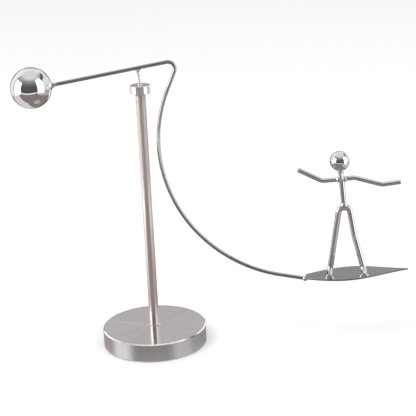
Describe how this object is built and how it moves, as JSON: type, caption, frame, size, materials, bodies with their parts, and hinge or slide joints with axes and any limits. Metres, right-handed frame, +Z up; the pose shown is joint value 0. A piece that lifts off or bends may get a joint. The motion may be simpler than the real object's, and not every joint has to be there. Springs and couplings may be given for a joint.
{
  "type": "kinetic balancing toy",
  "caption": "Kinetic balancing toy: a steel ball and a stick-figure surfer on a bent wire arm balance on one point, on a slim stem above a round weighted base.",
  "frame": {"origin": "centre of the base's underside, on the surface the toy stands on", "axes": "+Z up along the stem, +X along the balance arm from the ball towards the surfer at rest, -Y to the front, where the surfer's toes point"},
  "size_m": [0.2929, 0.08, 0.2233],
  "materials": {
    "turned_steel": "stainless steel, lathe-turned top and finely brushed side",
    "stem_steel": "polished stainless rod with fine lengthwise lines",
    "cap_steel": "turned and polished stainless steel",
    "polished_steel": "mirror-polished steel",
    "wire_steel": "bright-drawn polished steel wire",
    "rod_steel": "bright polished steel rod",
    "board_steel": "satin steel sheet",
    "weld_steel": "polished weld bead",
    "screw_steel": "zinc-plated steel",
    "rubber_pad": "fine foam rubber sheet"
  },
  "bodies": {
    "stand": {"base_disc": "turned_steel", "base_pad": "rubber_pad", "lock_washer": "screw_steel", "stem_screw": "screw_steel", "stem": "stem_steel"},
    "cap": {"stem_cap": "cap_steel"},
    "point": {"pivot_tip": "polished_steel"},
    "balance_arm": {"balance_wire": "wire_steel", "pivot_pin": "wire_steel", "pin_weld": "weld_steel", "counterweight_ball": "polished_steel", "ball_weld": "weld_steel", "surfboard": "board_steel", "tail_weld": "weld_steel", "rider_legs": "rod_steel", "foot_welds": "weld_steel", "rider_torso": "rod_steel", "hip_weld": "weld_steel", "rider_left_arm": "rod_steel", "rider_right_arm": "rod_steel", "shoulder_welds": "weld_steel", "rider_head": "polished_steel", "neck_weld": "weld_steel"}
  },
  "joints": [
    {"name": "arm_spin", "type": "hinge", "parent": "stand", "child": "cap", "pos_m": [0, 0, 0.2046], "axis": [0, 0, 1], "continuous": true},
    {"name": "arm_rock", "type": "hinge", "parent": "cap", "child": "point", "pos_m": [0, 0, 0.2046], "axis": [0, 1, 0], "range_deg": [-15, 6]},
    {"name": "arm_sway", "type": "hinge", "parent": "point", "child": "balance_arm", "pos_m": [0, 0, 0.2046], "axis": [1, 0, 0], "range_deg": [-15, 15]}
  ]
}
